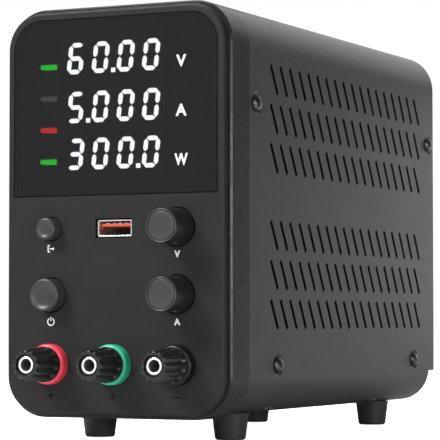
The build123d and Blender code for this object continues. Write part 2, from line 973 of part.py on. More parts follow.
def heat_sinks():
    """Two finned extrusions that stand on the main board, fins to the case's walls."""
    length = heat_sink_back - heat_sink_front
    pitch = (length - fin_thick) / (fin_count - 1)
    made = []
    for side in (-1, 1):
        base_x = side * (sink_inner + heat_sink_base / 2)
        fin_x = side * (sink_inner + heat_sink_base + fin_reach / 2)
        middle = front + (heat_sink_front + heat_sink_back) / 2
        face = Pos(base_x, middle) * Rectangle(heat_sink_base, length)
        for index in range(fin_count):
            y = front + heat_sink_front + fin_thick / 2 + index * pitch
            face += Pos(fin_x, y) * Rectangle(fin_reach + 0.2, fin_thick)
        made.append(Pos(0, 0, main_board_top) * extrude(face, amount=heat_sink_tall))
    return made


def power_transistors():
    """Flat transistors on the heat sinks' inner faces, their legs down to the board."""
    made = []
    leg_length = 8.0
    low = main_board_top + leg_length
    for side in (-1, 1):
        x = side * (sink_inner - transistor_thick / 2)
        for y in (heat_sink_front + transistor_inset, heat_sink_back - transistor_inset):
            package = Box(transistor_thick, transistor_width, transistor_tall)
            body = Pos(x, front + y, low + transistor_tall / 2) * package
            for shift in (-5.0, 0.0, 5.0):
                leg = Pos(x, front + y + shift, main_board_top + leg_length / 2)
                body += leg * Box(0.7, 1.2, leg_length)
            made.append(body)
    return made


def transformer():
    """A ferrite core, open at its sides, round a taped winding."""
    middle = front + core_at
    base = main_board_top + 3.0
    centre = base + core_tall / 2
    leg = core_width * 0.2
    window_tall = core_tall - 2 * leg
    core = Pos(0, middle, centre) * Box(core_width, core_length * 0.45, core_tall)
    window = Pos(0, middle, centre) * Box(core_width - 2 * leg, core_length, window_tall)
    post_width = core_width * 0.28
    core -= window
    core += Pos(0, middle, centre) * Box(post_width, core_length * 0.45, core_tall)
    outer = Pos(0, middle) * RectangleRounded(core_width - 2 * leg - 2 * gap, core_length, 4.0)
    inner = Pos(0, middle) * Rectangle(post_width + 2 * gap, core_length * 0.45 + 2 * gap)
    coil = Pos(0, 0, centre - window_tall / 2 + gap) * extrude(outer - inner, amount=window_tall - 2 * gap)
    feet_bars = Pos(0, middle, main_board_top + 1.5) * Box(core_width, core_length, 3.0)
    return [core + feet_bars, coil]


def can(x, y, diameter, tall):
    """An electrolytic capacitor: a can with a rolled groove near its foot."""
    radius = diameter / 2
    groove = 0.06 * diameter
    section = make_face(
        Polyline(
            (0, 0),
            (radius, 0),
            (radius, tall * 0.1),
            (radius - groove, tall * 0.14),
            (radius, tall * 0.18),
            (radius, tall - 0.6),
            (radius - 0.6, tall),
            (0, tall),
            close=True,
        )
    )
    return Pos(x, front + y, main_board_top) * revolve(Plane.XZ * section, Axis.Z)


def capacitors():
    spread = bulk_diameter / 2 + 0.8
    made = [can(x, bulk_at, bulk_diameter, bulk_tall) for x in (-spread, spread)]
    pitch = filter_diameter + 1.5
    return made + [can(x, filter_at, filter_diameter, filter_tall) for x in (-pitch, 0, pitch)]


def output_choke():
    """A toroid that stands on its edge across the board."""
    radius = choke_diameter / 2
    ring = Circle(radius) - Circle(radius * 0.45)
    middle = Pos(0, main_board_top + radius) * ring
    core = prism(middle, choke_at - choke_thick / 2, choke_at + choke_thick / 2)
    edges = core.edges().filter_by(GeomType.CIRCLE)
    return chamfer(edges, 2.0)


def lead(*points):
    """A wire along a path with rounded corners."""
    path = FilletPolyline(*[Vector(x, front + y, z) for x, y, z in points], radius=lead_diameter * 1.6)
    start = Plane(origin=path @ 0, z_dir=path % 0)
    return sweep(start * Circle(lead_diameter / 2), path=path)


def wiring():
    """Leads from the posts to the main board and from the inlet to the main board."""
    made = []
    start = stud_tail + fit
    end = main_board_front + lead_diameter
    for x in columns:
        made.append(lead((x, start, row_bottom), (x, end, row_bottom), (x, end, main_board_top)))
    back = case_depth - panel_sink - inlet_depth - 6.1
    for x, z in inlet_pin_places()[:2]:
        y = main_board_back - 3.0
        made.append(lead((x, back, z), (x, y, z), (x, y, main_board_top)))
    return made


nodes = {
    "face_plate": face_plate(),
    "display_window": display_window(),
    "front_frame": front_frame(),
    "indicator_lamps": indicator_lamps(),
    "display_board": display_board(),
    "control_board": control_board(),
    "board_screws": board_screws(),
    "output_switch": switch_body(row_top, 12.0, output_switch_at, output_stem),
    "output_button": output_button(),
    "power_switch": switch_body(row_middle, 13.0, power_switch_at, power_stem),
    "power_button": power_button(),
    "usb_shell": usb_shell(),
    "usb_tongue": usb_tongue(),
    "post_washers": post_washers(),
    "post_nuts": post_nuts(),
    "top_cover": top_cover(),
    "cover_screws": cover_screws(),
    "bottom_tray": bottom_tray(),
    "feet": feet(),
    "foot_screws": foot_screws(),
    "rear_panel": rear_panel(),
    "fan_housing": fan_housing(),
    "fan_rotor": fan_rotor(),
    "fan_screws": fan_screws(),
    "inlet_housing": inlet_housing(),
    "inlet_pins": inlet_pins(),
    "fuse_drawer": fuse_drawer(),
    "fuse": fuse(),
    "selector_body": selector_body(),
    "selector_slider": selector_slider(),
    "main_board": main_board(),
    "heat_sinks": heat_sinks(),
    "power_transistors": power_transistors(),
    "transformer": transformer(),
    "capacitors": capacitors(),
    "output_choke": output_choke(),
    "wiring": wiring(),
}
for name, z in zip(("voltage", "current", "power"), readout_heights()):
    nodes[name + "_readout"] = readout(z)
for name, z in (("voltage", row_top), ("current", row_middle)):
    nodes[name + "_encoder"] = encoder(z)
    nodes[name + "_plunger"] = encoder_plunger(z)
    nodes[name + "_shaft"] = encoder_shaft(z)
    nodes[name + "_knob"] = knob(z)
for name, x in zip(("positive", "ground", "negative"), columns):
    nodes[name + "_collar"] = post_collar(x)
    nodes[name + "_stud"] = post_stud(x)
    nodes[name + "_clamp_ring"] = clamp_ring(x)
    nodes[name + "_cap"] = post_cap(x)

os.makedirs("parts", exist_ok=True)
for name, shape in nodes.items():
    if isinstance(shape, list):
        shape = Compound(children=[part if isinstance(part, Solid) else part.solid() for part in shape])
    export_step(shape, os.path.join("parts", name + ".step"))
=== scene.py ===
import json
import math

import bpy
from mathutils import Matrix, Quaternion, Vector


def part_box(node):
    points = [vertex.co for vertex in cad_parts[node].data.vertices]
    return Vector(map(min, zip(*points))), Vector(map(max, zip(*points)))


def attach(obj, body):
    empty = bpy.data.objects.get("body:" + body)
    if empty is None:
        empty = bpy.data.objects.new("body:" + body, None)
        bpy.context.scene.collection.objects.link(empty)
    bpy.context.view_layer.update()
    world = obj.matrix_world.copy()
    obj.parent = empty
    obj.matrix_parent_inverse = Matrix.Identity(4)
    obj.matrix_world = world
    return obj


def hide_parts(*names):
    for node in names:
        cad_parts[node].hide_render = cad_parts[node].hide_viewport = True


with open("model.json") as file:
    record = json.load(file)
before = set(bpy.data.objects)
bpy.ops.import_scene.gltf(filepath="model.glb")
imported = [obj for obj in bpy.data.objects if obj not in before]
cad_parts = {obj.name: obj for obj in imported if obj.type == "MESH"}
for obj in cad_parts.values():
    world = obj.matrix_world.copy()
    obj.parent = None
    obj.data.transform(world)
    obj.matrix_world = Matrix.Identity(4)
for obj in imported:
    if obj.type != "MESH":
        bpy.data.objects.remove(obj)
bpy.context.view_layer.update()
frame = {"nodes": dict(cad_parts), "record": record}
node_objects = frame["nodes"]

MM = 0.001
MATERIAL_SLOTS = {s["node"]: s["material_slot"] for s in frame["record"]["subparts"]}

# The plane of the front plate's face, read from the frame, and how far ink stands off it
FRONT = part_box("face_plate")[0].y
SKIN = 0.02 * MM


def middle(node):
    low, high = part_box(node)
    return (low + high) / 2


def slot_of(node):
    return MATERIAL_SLOTS[node]


# Camera: a little above the feet, to the right of the front, looking slightly up
CAMERA_PLACE = Vector((361.0 * MM, FRONT - 656.2 * MM, 41.0 * MM))
CAMERA_TURN = math.radians(26.09)
CAMERA_RISE = math.radians(2.554)
FRAME_PIXELS = 440
FOCAL_PIXELS = 2240.4
SENSOR = 36.0
NEAREST = 0.01
FURTHEST = 20

camera_data = bpy.data.cameras.new("camera")
camera = bpy.data.objects.new("camera", camera_data)
bpy.context.scene.collection.objects.link(camera)
camera.location = CAMERA_PLACE
camera.rotation_euler = (math.pi / 2 + CAMERA_RISE, 0, CAMERA_TURN)
camera_data.sensor_width = SENSOR
camera_data.lens = FOCAL_PIXELS / FRAME_PIXELS * SENSOR
camera_data.clip_start = NEAREST
camera_data.clip_end = FURTHEST
bpy.context.scene.camera = camera
bpy.context.scene.view_settings.view_transform = "Standard"


# Making materials: most of a noise's values lie between these two
NOISE_LOW = 0.3
NOISE_HIGH = 0.7
UNEVEN_DETAIL = 3.0


class Finish:
    """A Principled material with small helpers that add its procedural detail."""

    def __init__(self, name, colour, roughness, metallic=0.0, **sockets):
        self.material = bpy.data.materials.new(name)
        self.material.use_nodes = True
        self.tree = self.material.node_tree
        self.shader = self.tree.nodes["Principled BSDF"]
        self.colour = (*colour, 1.0)
        self.shader.inputs["Base Color"].default_value = self.colour
        self.shader.inputs["Roughness"].default_value = roughness
        self.shader.inputs["Metallic"].default_value = metallic
        for socket, value in sockets.items():
            self.shader.inputs[socket.replace("_", " ")].default_value = value
        self.roughness = roughness
        self.place = self.node("ShaderNodeTexCoord").outputs["Object"]

    def node(self, kind, **settings):
        made = self.tree.nodes.new(kind)
        for setting, value in settings.items():
            setattr(made, setting, value)
        return made

    def link(self, source, target):
        self.tree.links.new(source, target)

    def along(self, axis):
        """The place along an axis."""
        split = self.node("ShaderNodeSeparateXYZ")
        self.link(self.place, split.inputs["Vector"])
        return split.outputs[axis]

    def ranged(self, source, start, end, low=0.0, high=1.0):
        """The source's stretch from start to end, mapped to low and high."""
        ramp = self.node("ShaderNodeMapRange")
        ramp.inputs["From Min"].default_value = start
        ramp.inputs["From Max"].default_value = end
        ramp.inputs["To Min"].default_value = low
        ramp.inputs["To Max"].default_value = high
        self.link(source, ramp.inputs["Value"])
        return ramp.outputs["Result"]

    def noise(self, grain, detail=2.0, stretch=None):
        """Noise whose features are about grain metres across, stretched along an axis if asked."""
        texture = self.node("ShaderNodeTexNoise")
        texture.inputs["Scale"].default_value = 1.0 / grain
        texture.inputs["Detail"].default_value = detail
        place = self.place
        if stretch:
            mapping = self.node("ShaderNodeMapping")
            mapping.inputs["Scale"].default_value = stretch
            self.link(place, mapping.inputs["Vector"])
            place = mapping.outputs["Vector"]
        self.link(place, texture.inputs["Vector"])
        return texture.outputs["Fac"]

    def shades(self, source, *stops):
        """Colours along the source's value, as (position, colour) stops."""
        ramp = self.node("ShaderNodeValToRGB")
        elements = ramp.color_ramp.elements
        for element, (position, colour) in zip(elements, stops):
            element.position = position
            element.color = (*colour, 1.0)
        for position, colour in stops[2:]:
            elements.new(position).color = (*colour, 1.0)
        self.link(source, ramp.inputs["Fac"])
        return ramp.outputs["Color"]

    def bands(self, axis, start, end, *stops):
        """Colours in bands with sharp edges, from start to end along an axis."""
        colour = self.shades(self.ranged(self.along(axis), start, end), *stops)
        colour.node.color_ramp.interpolation = "CONSTANT"
        return colour

    def coloured(self, colour):
        self.link(colour, self.shader.inputs["Base Color"])
        return self

    def mottle(self, grain, amount, stretch=None):
        """Slightly uneven colour."""
        darker = tuple(max(c * (1 - amount), 0) for c in self.colour[:3])
        lighter = tuple(min(c * (1 + amount), 1) for c in self.colour[:3])
        patches = self.noise(grain, UNEVEN_DETAIL, stretch)
        return self.coloured(self.shades(patches, (NOISE_LOW, darker), (NOISE_HIGH, lighter)))

    def uneven_gloss(self, grain, amount, stretch=None):
        """Roughness that wanders by that amount to both sides."""
        patches = self.noise(grain, UNEVEN_DETAIL, stretch)
        limits = (self.roughness - amount, self.roughness + amount)
        self.link(self.ranged(patches, NOISE_LOW, NOISE_HIGH, *limits), self.shader.inputs["Roughness"])
        return self

    def raised(self, pattern, height):
        """A bump that follows the pattern, as high as asked, in metres."""
        bump = self.node("ShaderNodeBump")
        bump.inputs["Distance"].default_value = height
        self.link(pattern, bump.inputs["Height"])
        self.link(bump.outputs["Normal"], self.shader.inputs["Normal"])
        return self

    def grain(self, size, height, stretch=None):
        """A bump of that grain size and height, in metres."""
        return self.raised(self.noise(size, stretch=stretch), height)


def moulded(name, colour, roughness, grain=0.35 * MM, height=0.02 * MM, **sockets):
    """Moulded plastic: a fine spark-eroded grain and slightly uneven gloss."""
    made = Finish(name, colour, roughness, **sockets)
    made.mottle(12 * MM, 0.06).uneven_gloss(4 * MM, 0.04).grain(grain, height)
    return made.material


def polished(name, colour, roughness, **sockets):
    """Smooth plastic or glass: faint flow marks and no grain."""
    made = Finish(name, colour, roughness, **sockets)
    made.mottle(8 * MM, 0.05).uneven_gloss(6 * MM, 0.03).grain(3 * MM, 0.01 * MM)
    return made.material


def plated(name, colour, roughness, stretch=None, metallic=1.0):
    """Plated or bare metal with faint drawing marks."""
    made = Finish(name, colour, roughness, metallic)
    made.mottle(2 * MM, 0.06, stretch).uneven_gloss(0.8 * MM, 0.06, stretch)
    return made.grain(0.25 * MM, 0.004 * MM, stretch).material


# The zone of the cover's side slots, behind the front plane and above the table, and the black painted on
# the slot walls as shade
SLOT_SKIN = 0.06 * MM
SLOTS_FROM = 32 * MM
SLOTS_TO = 175 * MM
SLOTS_LOW = 36 * MM
SLOTS_HIGH = 130 * MM
SLOT_PAINTED_SHADE = (0.001, 0.001, 0.001, 1.0)


def slot_wall_shade(made):
    """One on the walls of the cover's slots, just inside its outer face, where shade is painted, and nought
    elsewhere.
    """
    limits = (
        ("X", 0.0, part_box("top_cover")[1].x - SLOT_SKIN),
        ("Y", FRONT + (SLOTS_FROM + SLOTS_TO) / 2, (SLOTS_TO - SLOTS_FROM) / 2),
        ("Z", (SLOTS_LOW + SLOTS_HIGH) / 2, (SLOTS_HIGH - SLOTS_LOW) / 2),
    )
    inside = []
    for axis, centre, reach in limits:
        near = made.node("ShaderNodeMath", operation="COMPARE")
        made.link(made.along(axis), near.inputs[0])
        near.inputs[1].default_value = centre
        near.inputs[2].default_value = reach
        inside.append(near.outputs["Value"])
    total = inside[0]
    for share in inside[1:]:
        both = made.node("ShaderNodeMath", operation="MULTIPLY")
        made.link(total, both.inputs[0])
        made.link(share, both.inputs[1])
        total = both.outputs["Value"]
    return total


# Powder coat: fine peaks over a slower wave, which counts for a third as much
PEEL_SIZE = 0.45 * MM
PEEL_WAVE = 2.4 * MM
WAVE_SHARE = 0.35
PEEL_HEIGHT = 0.008 * MM


def powder_coat(name, colour):
    """Textured powder coat on sheet metal: orange-peel bump, a fine speckle and painted shade, black on the
    slot walls.
    """
    made = Finish(name, colour, 0.36)
    made.mottle(0.5 * MM, 0.10).uneven_gloss(1.2 * MM, 0.05)
    coat = made.shader.inputs["Base Color"].links[0].from_socket
    # Painted shade: the slot walls are coloured black, as they look in shadow
    shaded = made.node("ShaderNodeMix", data_type="RGBA")
    made.link(slot_wall_shade(made), shaded.inputs["Factor"])
    made.link(coat, shaded.inputs[6])
    shaded.inputs[7].default_value = SLOT_PAINTED_SHADE
    made.coloured(shaded.outputs[2])
    peel = made.noise(PEEL_SIZE)
    wave = made.noise(PEEL_WAVE, 1.0)
    both = made.node("ShaderNodeMath", operation="MULTIPLY_ADD")
    both.inputs[1].default_value = WAVE_SHARE
    made.link(wave, both.inputs[0])
    made.link(peel, both.inputs[2])
    return made.raised(both.outputs["Value"], PEEL_HEIGHT).material


PAD_PITCH = 3.2 * MM


def circuit(name, mask, copper):
    """A printed board: solder mask scattered with small square pads, and a fine bump."""
    made = Finish(name, mask, 0.35)
    cells = made.node("ShaderNodeTexVoronoi", distance="CHEBYCHEV", feature="F1")
    cells.inputs["Scale"].default_value = 1 / PAD_PITCH
    made.link(made.place, cells.inputs["Vector"])
    made.coloured(made.shades(cells.outputs["Distance"], (0.10, copper), (0.16, mask)))
    return made.grain(1.1 * MM, 0.02 * MM).material


def lit(name, colour, strength):
    """A lit diode face: bright and even, with a soft diffuser grain."""
    made = Finish(name, colour, 0.4, Emission_Color=(*colour, 1.0), Emission_Strength=strength)
    return made.mottle(2 * MM, 0.04).grain(0.3 * MM, 0.01 * MM).material


def lamps_material():
    """Four lamps, lit green, unlit, lit red and lit green from the top down; the unlit one still glows a
    dim grey, painted light.
    """
    made = Finish("lamp_lenses", (0.2, 0.2, 0.2), 0.35, Emission_Strength=LAMP_STRENGTH)
    low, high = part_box("indicator_lamps")
    green, red, grey = (0.01, 0.74, 0.03), (0.85, 0.015, 0.02), (0.07, 0.07, 0.07)
    colour = made.bands("Z", low.z, high.z, (0.0, green), (0.2, red), (0.5, grey), (0.8, green))
    made.link(colour, made.shader.inputs["Emission Color"])
    return made.coloured(colour).grain(0.3 * MM, 0.01 * MM).material


def face_and_painted_shade(made, node, depth, face, side):
    """One colour on the node's front face, and another, painted shade, from that depth behind it."""
    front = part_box(node)[0].y
    behind = made.ranged(made.along("Y"), front, front + depth)
    return made.coloured(made.shades(behind, (0.4, face), (0.9, side)))


def post_plate():
    """Nickel with painted light: the lip is bright and only half metallic, so that it shows as a painted
    reflection of white surroundings, and painted shade darkens it down its bore where little light comes.
    """
    # Painted reflection on the lip, painted shade down the bore
    lip, bore = (0.92, 0.92, 0.93), (0.16, 0.16, 0.16)
    made = face_and_painted_shade(Finish("post_nickel_painted_reflection_and_shade", lip, 0.24, 0.45), "positive_stud", LIP_DEPTH, lip, bore)
    return made.uneven_gloss(0.8 * MM, 0.06).grain(0.25 * MM, 0.004 * MM).material


def dial_plastic_shaded_sides():
    """Knob plastic: a satin face on darker, glossier sides, where the darkness is painted shade."""
    # Painted shade: the knob's sides are coloured darker than its face, as they look in shadow
    face, side = (0.036, 0.036, 0.0365), (0.011, 0.011, 0.011)
    made = face_and_painted_shade(Finish("dial_plastic_shaded_sides", face, 0.36), "voltage_knob", DIAL_FACE_DEPTH, face, side)
    return made.uneven_gloss(4 * MM, 0.04).grain(0.25 * MM, 0.008 * MM).material


def smoked():
    """Smoked acrylic: dark and satin, each of its two faces letting a fifth of the light through."""
    made = Finish("smoked_acrylic", (0.015, 0.015, 0.0155), 0.26, Alpha=0.80, Specular_IOR_Level=0.22)
    return made.uneven_gloss(10 * MM, 0.02).material


def wires():
    """Insulation in four colours across the case: red, blue, green and black."""
    made = Finish("wire_insulation", (0.4, 0.02, 0.02), 0.4)
    red, blue = (0.45, 0.02, 0.02), (0.03, 0.10, 0.40)
    green, black = (0.05, 0.30, 0.05), (0.015, 0.015, 0.015)
    stops = ((0.0, red), (0.25, blue), (0.4, green), (0.7, black))
    made.coloured(made.bands("X", -LEADS_REACH, LEADS_REACH, *stops))
    return made.uneven_gloss(3 * MM, 0.05).grain(0.5 * MM, 0.01 * MM).material


# Over what depth the painted shade darkens the posts' bores and the knobs' sides, how strong the lit faces
# are behind the window, and how far to each side the leads' colours reach
LIP_DEPTH = 0.6 * MM
DIAL_FACE_DEPTH = 0.7 * MM
LED_STRENGTH = 26.0
LAMP_STRENGTH = 13.5
LEADS_REACH = 30 * MM

PLATE = moulded("plate_plastic", (0.019, 0.019, 0.0192), 0.46, Specular_IOR_Level=0.18)
FRAME = moulded(
    "frame_plastic", (0.018, 0.018, 0.0182), 0.30, 0.35 * MM, 0.0015 * MM, Specular_IOR_Level=0.2
)
COVER = powder_coat("cover_powder_coat", (0.026, 0.026, 0.0265))
TRAY = powder_coat("tray_powder_coat", (0.026, 0.026, 0.0265))
DIAL = dial_plastic_shaded_sides()
BUTTON = moulded("button_plastic", (0.033, 0.033, 0.0335), 0.37, 0.25 * MM, 0.008 * MM)
WHITE_INK = moulded("white_ink", (0.80, 0.80, 0.80), 0.6, 0.2 * MM, 0.002 * MM)
# Dark ink for the relief marks under the posts, and also the painted shadow line round the window
DARK_INK_AND_PAINTED_SHADOW = moulded(
    "dark_relief_and_painted_shadow", (0.004, 0.004, 0.004), 0.8, 0.2 * MM, 0.002 * MM, Specular_IOR_Level=0.08
)
CONTACT = plated("contact_plate", (0.92, 0.90, 0.86), 0.35, metallic=0.4)
CAP = moulded("cap_plastic", (0.016, 0.016, 0.016), 0.30, 0.4 * MM, 0.008 * MM)
NICKEL = plated("nickel_plate", (0.86, 0.86, 0.87), 0.24)
SHELL = plated("shell_steel", (0.90, 0.90, 0.90), 0.30, metallic=0.95)
STEEL = plated("drawn_steel", (0.66, 0.66, 0.67), 0.28, (1.0, 6.0, 1.0))
BLACK_STEEL = plated("black_oxide", (0.10, 0.10, 0.102), 0.30)
RED = polished("red_collar", (0.95, 0.062, 0.105), 0.30)
GREEN = polished("green_collar", (0.034, 0.46, 0.26), 0.30)
BLACK = polished("black_collar", (0.006, 0.006, 0.006), 0.34, Specular_IOR_Level=0.3)
ORANGE = polished("orange_tongue", (0.82, 0.13, 0.06), 0.38)
RUBBER = moulded("foot_rubber", (0.040, 0.040, 0.041), 0.55, 0.5 * MM, 0.03 * MM)
FAN = moulded("fan_plastic", (0.018, 0.018, 0.018), 0.45)
INLET = moulded("inlet_plastic", (0.020, 0.020, 0.020), 0.38, 0.6 * MM, 0.02 * MM)
BOARD = circuit("board_mask", (0.012, 0.10, 0.045), (0.10, 0.22, 0.05))
MASK = moulded("readout_mask", (0.010, 0.010, 0.011), 0.6)
LIT_WHITE = lit("lit_white", (0.92, 0.94, 1.0), LED_STRENGTH)
PACKAGE = moulded("package_epoxy", (0.022, 0.022, 0.023), 0.55)
FERRITE = moulded("ferrite", (0.05, 0.048, 0.047), 0.6, 0.8 * MM, 0.05 * MM)
SLEEVE = polished("can_sleeve", (0.015, 0.025, 0.07), 0.3)
POWDER_CORE = polished("powder_core", (0.62, 0.50, 0.06), 0.45)
ALUMINIUM = plated("extruded_aluminium", (0.62, 0.62, 0.63), 0.35, (1.0, 1.0, 0.05))
BRASS = plated("nickelled_brass", (0.72, 0.62, 0.38), 0.3, (1.0, 0.1, 1.0))
SLIDER = polished("slider_red", (0.5, 0.02, 0.02), 0.35)
GLASS = polished("fuse_glass", (0.75, 0.78, 0.77), 0.08, Alpha=0.5)

finish_of_slot = {
    "front_plastic": PLATE, "frame_plastic": FRAME, "smoked_window": smoked(), "readout_black": MASK,
    "lamp_clear": lamps_material(), "board_green": BOARD, "control_black": DIAL, "switch_black": PACKAGE,
    "plated_steel": NICKEL, "zinc_screw": STEEL, "black_screw": BLACK_STEEL, "tongue_orange": ORANGE,
    "collar_red": RED, "collar_green": GREEN, "collar_black": BLACK, "cap_black": CAP, "cover_paint": COVER,
    "foot_rubber": RUBBER, "fan_black": FAN, "inlet_black": INLET, "pin_brass": BRASS, "fuse_glass": GLASS,
    "slider_red": SLIDER, "sink_aluminium": ALUMINIUM, "package_black": PACKAGE, "ferrite": FERRITE,
    "can_sleeve": SLEEVE, "choke_yellow": POWDER_CORE, "wire_red": wires(),
}
POST_PLATE = post_plate()
own_finish = {"usb_shell": SHELL, "bottom_tray": TRAY}


def wear(piece, material):
    piece.data.materials.clear()
    piece.data.materials.append(material)


for node, piece in node_objects.items():
    wear(piece, own_finish.get(node, finish_of_slot[slot_of(node)]))


# Stage: a pale floor that the camera sees as white, white surroundings and soft lights
FLOOR_GLOW = 1.0
FLOOR_SIZE = 12.0
SURROUNDINGS = 0.12
AIM = (0, 0, 70 * MM)
LIGHTS = (
    ("key_light", (-0.6, -0.85, 1.0), AIM, 0.5, 19.0),
    ("front_light", (0.3, -1.4, 0.5), AIM, 0.8, 7.0),
    ("back_light", (0.12, 0.6, 0.10), (0.04, 0.1, 0.07), 0.16, 0.18),
    ("corner_light", (0.05, 1.0, 0.65), (0.03, 0.1, 0.13), 0.8, 2.0),
    ("top_light", (-0.2, 0.1, 1.0), AIM, 0.6, 5.0),
    ("edge_light", (1.1, -0.6, 0.12), (0.04, -0.09, 0.07), 0.2, 4.0),
)


def backdrop_floor():
    bpy.ops.object.select_all(action="DESELECT")
    bpy.ops.mesh.primitive_plane_add(size=FLOOR_SIZE, location=(0, 0, 0))
    floor = bpy.context.object
    floor.name = "floor"
    made = Finish("floor_paper", (0.80, 0.80, 0.80), 0.9)
    rays = made.node("ShaderNodeLightPath")
    glow = made.node("ShaderNodeEmission")
    level = made.ranged(rays.outputs["Is Camera Ray"], 0.0, 1.0, 0.0, FLOOR_GLOW)
    made.link(level, glow.inputs["Strength"])
    total = made.node("ShaderNodeAddShader")
    made.link(made.shader.outputs["BSDF"], total.inputs[0])
    made.link(glow.outputs["Emission"], total.inputs[1])
    made.link(total.outputs["Shader"], made.tree.nodes["Material Output"].inputs["Surface"])
    wear(floor, made.material)


def white_world(strength):
    """White to the camera and through glass, and a light of the strength asked for otherwise."""
    world = bpy.data.worlds.new("studio")
    bpy.context.scene.world = world
    world.use_nodes = True
    tree = world.node_tree
    background = tree.nodes["Background"]
    background.inputs["Color"].default_value = (1.0, 1.0, 1.0, 1.0)
    rays = tree.nodes.new("ShaderNodeLightPath")
    seen = tree.nodes.new("ShaderNodeMath")
    seen.operation = "MAXIMUM"
    tree.links.new(rays.outputs["Is Camera Ray"], seen.inputs[0])
    tree.links.new(rays.outputs["Is Transmission Ray"], seen.inputs[1])
    level = tree.nodes.new("ShaderNodeMapRange")
    level.inputs["To Min"].default_value = strength
    level.inputs["To Max"].default_value = 1.0
    tree.links.new(seen.outputs["Value"], level.inputs["Value"])
    tree.links.new(level.outputs["Result"], background.inputs["Strength"])


def soft_light(name, place, aim, size, power):
    data = bpy.data.lights.new(name, "AREA")
    data.size = size
    data.energy = power
    light = bpy.data.objects.new(name, data)
    light.location = place
    light.rotation_euler = (Vector(aim) - Vector(place)).to_track_quat("-Z", "Y").to_euler()
    bpy.context.scene.collection.objects.link(light)


backdrop_floor()
white_world(SURROUNDINGS)
for name, place, aim, size, power in LIGHTS:
    soft_light(name, place, aim, size, power)


# Modelling by hand: shapes are drawn at the origin along Z and then stood where they belong.
# Points closer than a hair are one point.
TOWARDS_FRONT = (0, -1, 0)
HAIR = 0.001 * MM


def deselect():
    bpy.ops.object.select_all(action="DESELECT")


def choose(piece):
    """Makes one object the only selected one, and the active one."""
    deselect()
    piece.select_set(True)
    bpy.context.view_layer.objects.active = piece


def edit():
    bpy.ops.object.mode_set(mode="EDIT")


def leave():
    bpy.ops.object.mode_set(mode="OBJECT")


def select_faces(piece, wanted):
    """In edit mode, selects only the faces whose centre and normal pass the test."""
    bpy.ops.mesh.select_mode(type="FACE")
    bpy.ops.mesh.select_all(action="DESELECT")
    leave()
    for face in piece.data.polygons:
        face.select = wanted(face.center, face.normal)
    edit()


def select_points(piece, wanted):
    """In edit mode, selects only the points whose place passes the test."""
    bpy.ops.mesh.select_mode(type="VERT")
    bpy.ops.mesh.select_all(action="DESELECT")
    leave()
    for point in piece.data.vertices:
        point.select = wanted(point.co)
    edit()


def select_edges(piece, wanted):
    """In edit mode, selects only the edges whose two ends pass the test."""
    bpy.ops.mesh.select_mode(type="EDGE")
    bpy.ops.mesh.select_all(action="DESELECT")
    leave()
    points = piece.data.vertices
    for line in piece.data.edges:
        line.select = wanted(points[line.vertices[0]].co, points[line.vertices[1]].co)
    edit()


def extrude(x, y, z):
    bpy.ops.mesh.extrude_region_move(TRANSFORM_OT_translate={"value": (x, y, z)})


def resize(x, y, z, centre=(0, 0, 0)):
    bpy.ops.transform.resize(value=(x, y, z), center_override=centre)


def climb(*points):
    """Extrudes the selected ring or face through (radius, height) points, from the first of them."""
    for (radius, height), (new_radius, new_height) in zip(points, points[1:]):
        extrude(0, 0, new_height - height)
        ratio = new_radius / radius
        resize(ratio, ratio, 1)


def merge_doubles():
    bpy.ops.mesh.select_all(action="SELECT")
    bpy.ops.mesh.remove_doubles(threshold=HAIR)


def tidy_mesh():
    merge_doubles()
    bpy.ops.mesh.normals_make_consistent(inside=False)


def select_open_edges():
    bpy.ops.mesh.select_mode(type="EDGE")
    bpy.ops.mesh.select_all(action="DESELECT")
    bpy.ops.mesh.select_non_manifold()


def turned(points, sides=96):
    """A solid turned about Z: a disc that is extruded through (radius, height) points."""
    deselect()
    radius, height = points[0]
    bpy.ops.mesh.primitive_circle_add(
        vertices=sides, radius=radius, fill_type="NGON", location=(0, 0, height)
    )
    bpy.ops.object.transform_apply(location=True)
    edit()
    climb(*points)
    tidy_mesh()
    leave()
    return bpy.context.object


def turned_ring(points, sides=96):
    """A ring turned about Z: a circle of edges extruded round a closed section."""
    deselect()
    radius, height = points[0]
    bpy.ops.mesh.primitive_circle_add(vertices=sides, radius=radius, location=(0, 0, height))
    bpy.ops.object.transform_apply(location=True)
    edit()
    bpy.ops.mesh.select_mode(type="EDGE")
    bpy.ops.mesh.select_all(action="SELECT")
    climb(*points, points[0])
    tidy_mesh()
    leave()
    return bpy.context.object


def block(size, place=(0, 0, 0)):
    """A cube brought to a size at a place, to be shaped further."""
    deselect()
    bpy.ops.mesh.primitive_cube_add(size=1.0, location=place)
    piece = bpy.context.object
    piece.scale = size
    bpy.ops.object.transform_apply(location=True, scale=True)
    return piece


def applied(piece, kind, **settings):
    """Adds a modifier with those settings and applies it."""
    choose(piece)
    modifier = piece.modifiers.new("step", kind)
    for setting, value in settings.items():
        setattr(modifier, setting, value)
    bpy.ops.object.modifier_apply(modifier="step")
    return piece


def smooth(piece, angle=40):
    choose(piece)
    bpy.ops.object.shade_smooth_by_angle(angle=math.radians(angle))
    return piece


def softened(piece, width, segments=2):
    """Rounds the sharp edges and shades the rest smooth."""
    limit = {"limit_method": "ANGLE", "angle_limit": math.radians(30)}
    applied(piece, "BEVEL", width=width, segments=segments, **limit)
    return smooth(piece)


def stand(piece, place, towards=TOWARDS_FRONT, turn=0.0):
    """Points the piece's Z towards a direction, turned about it, and moves it to its place."""
    tilt = Vector(towards).to_track_quat("Z", "Y")
    piece.rotation_euler = (tilt @ Quaternion((0, 0, 1), turn)).to_euler()
    piece.location = place
    return piece


def stand_in(piece, node):
    """Stands a piece on the middle of the back of a node's box, towards the front."""
    low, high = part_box(node)
    return stand(piece, ((low.x + high.x) / 2, high.y, (low.z + high.z) / 2))


